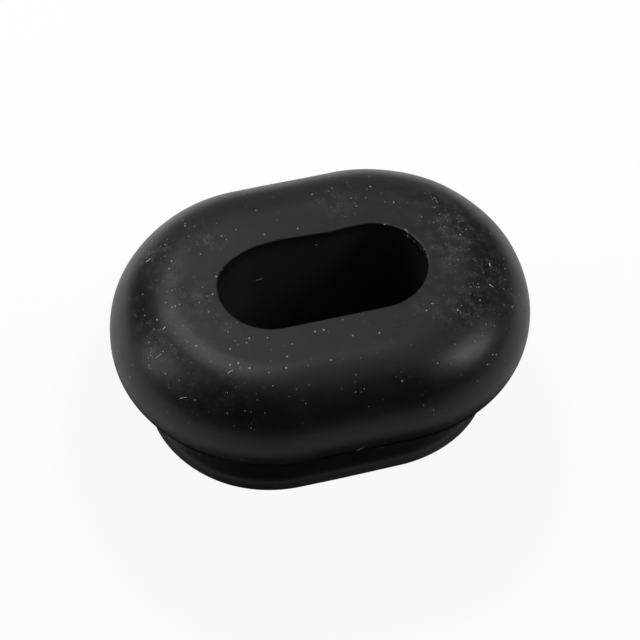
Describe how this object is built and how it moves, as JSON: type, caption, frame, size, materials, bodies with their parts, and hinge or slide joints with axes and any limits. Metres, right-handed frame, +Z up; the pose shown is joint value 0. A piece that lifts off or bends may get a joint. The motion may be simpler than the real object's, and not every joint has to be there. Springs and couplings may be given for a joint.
{
  "type": "rubber hole plug",
  "caption": "Oval black rubber hole plug with a thick crowned flange, a narrow neck for the panel's edge, a rounded snap lip and a blind oval pocket in its top.",
  "frame": {"origin": "centre of the flat foot, at the bottom of the bounding box", "axes": "+X along the oval's length, +Y across it, +Z up, out of the pocket's mouth"},
  "size_m": [0.0332, 0.025, 0.0157],
  "materials": {
    "rubber": "satin, as moulded, with fine dust"
  },
  "bodies": {
    "root": {"plug": "rubber"}
  },
  "joints": []
}
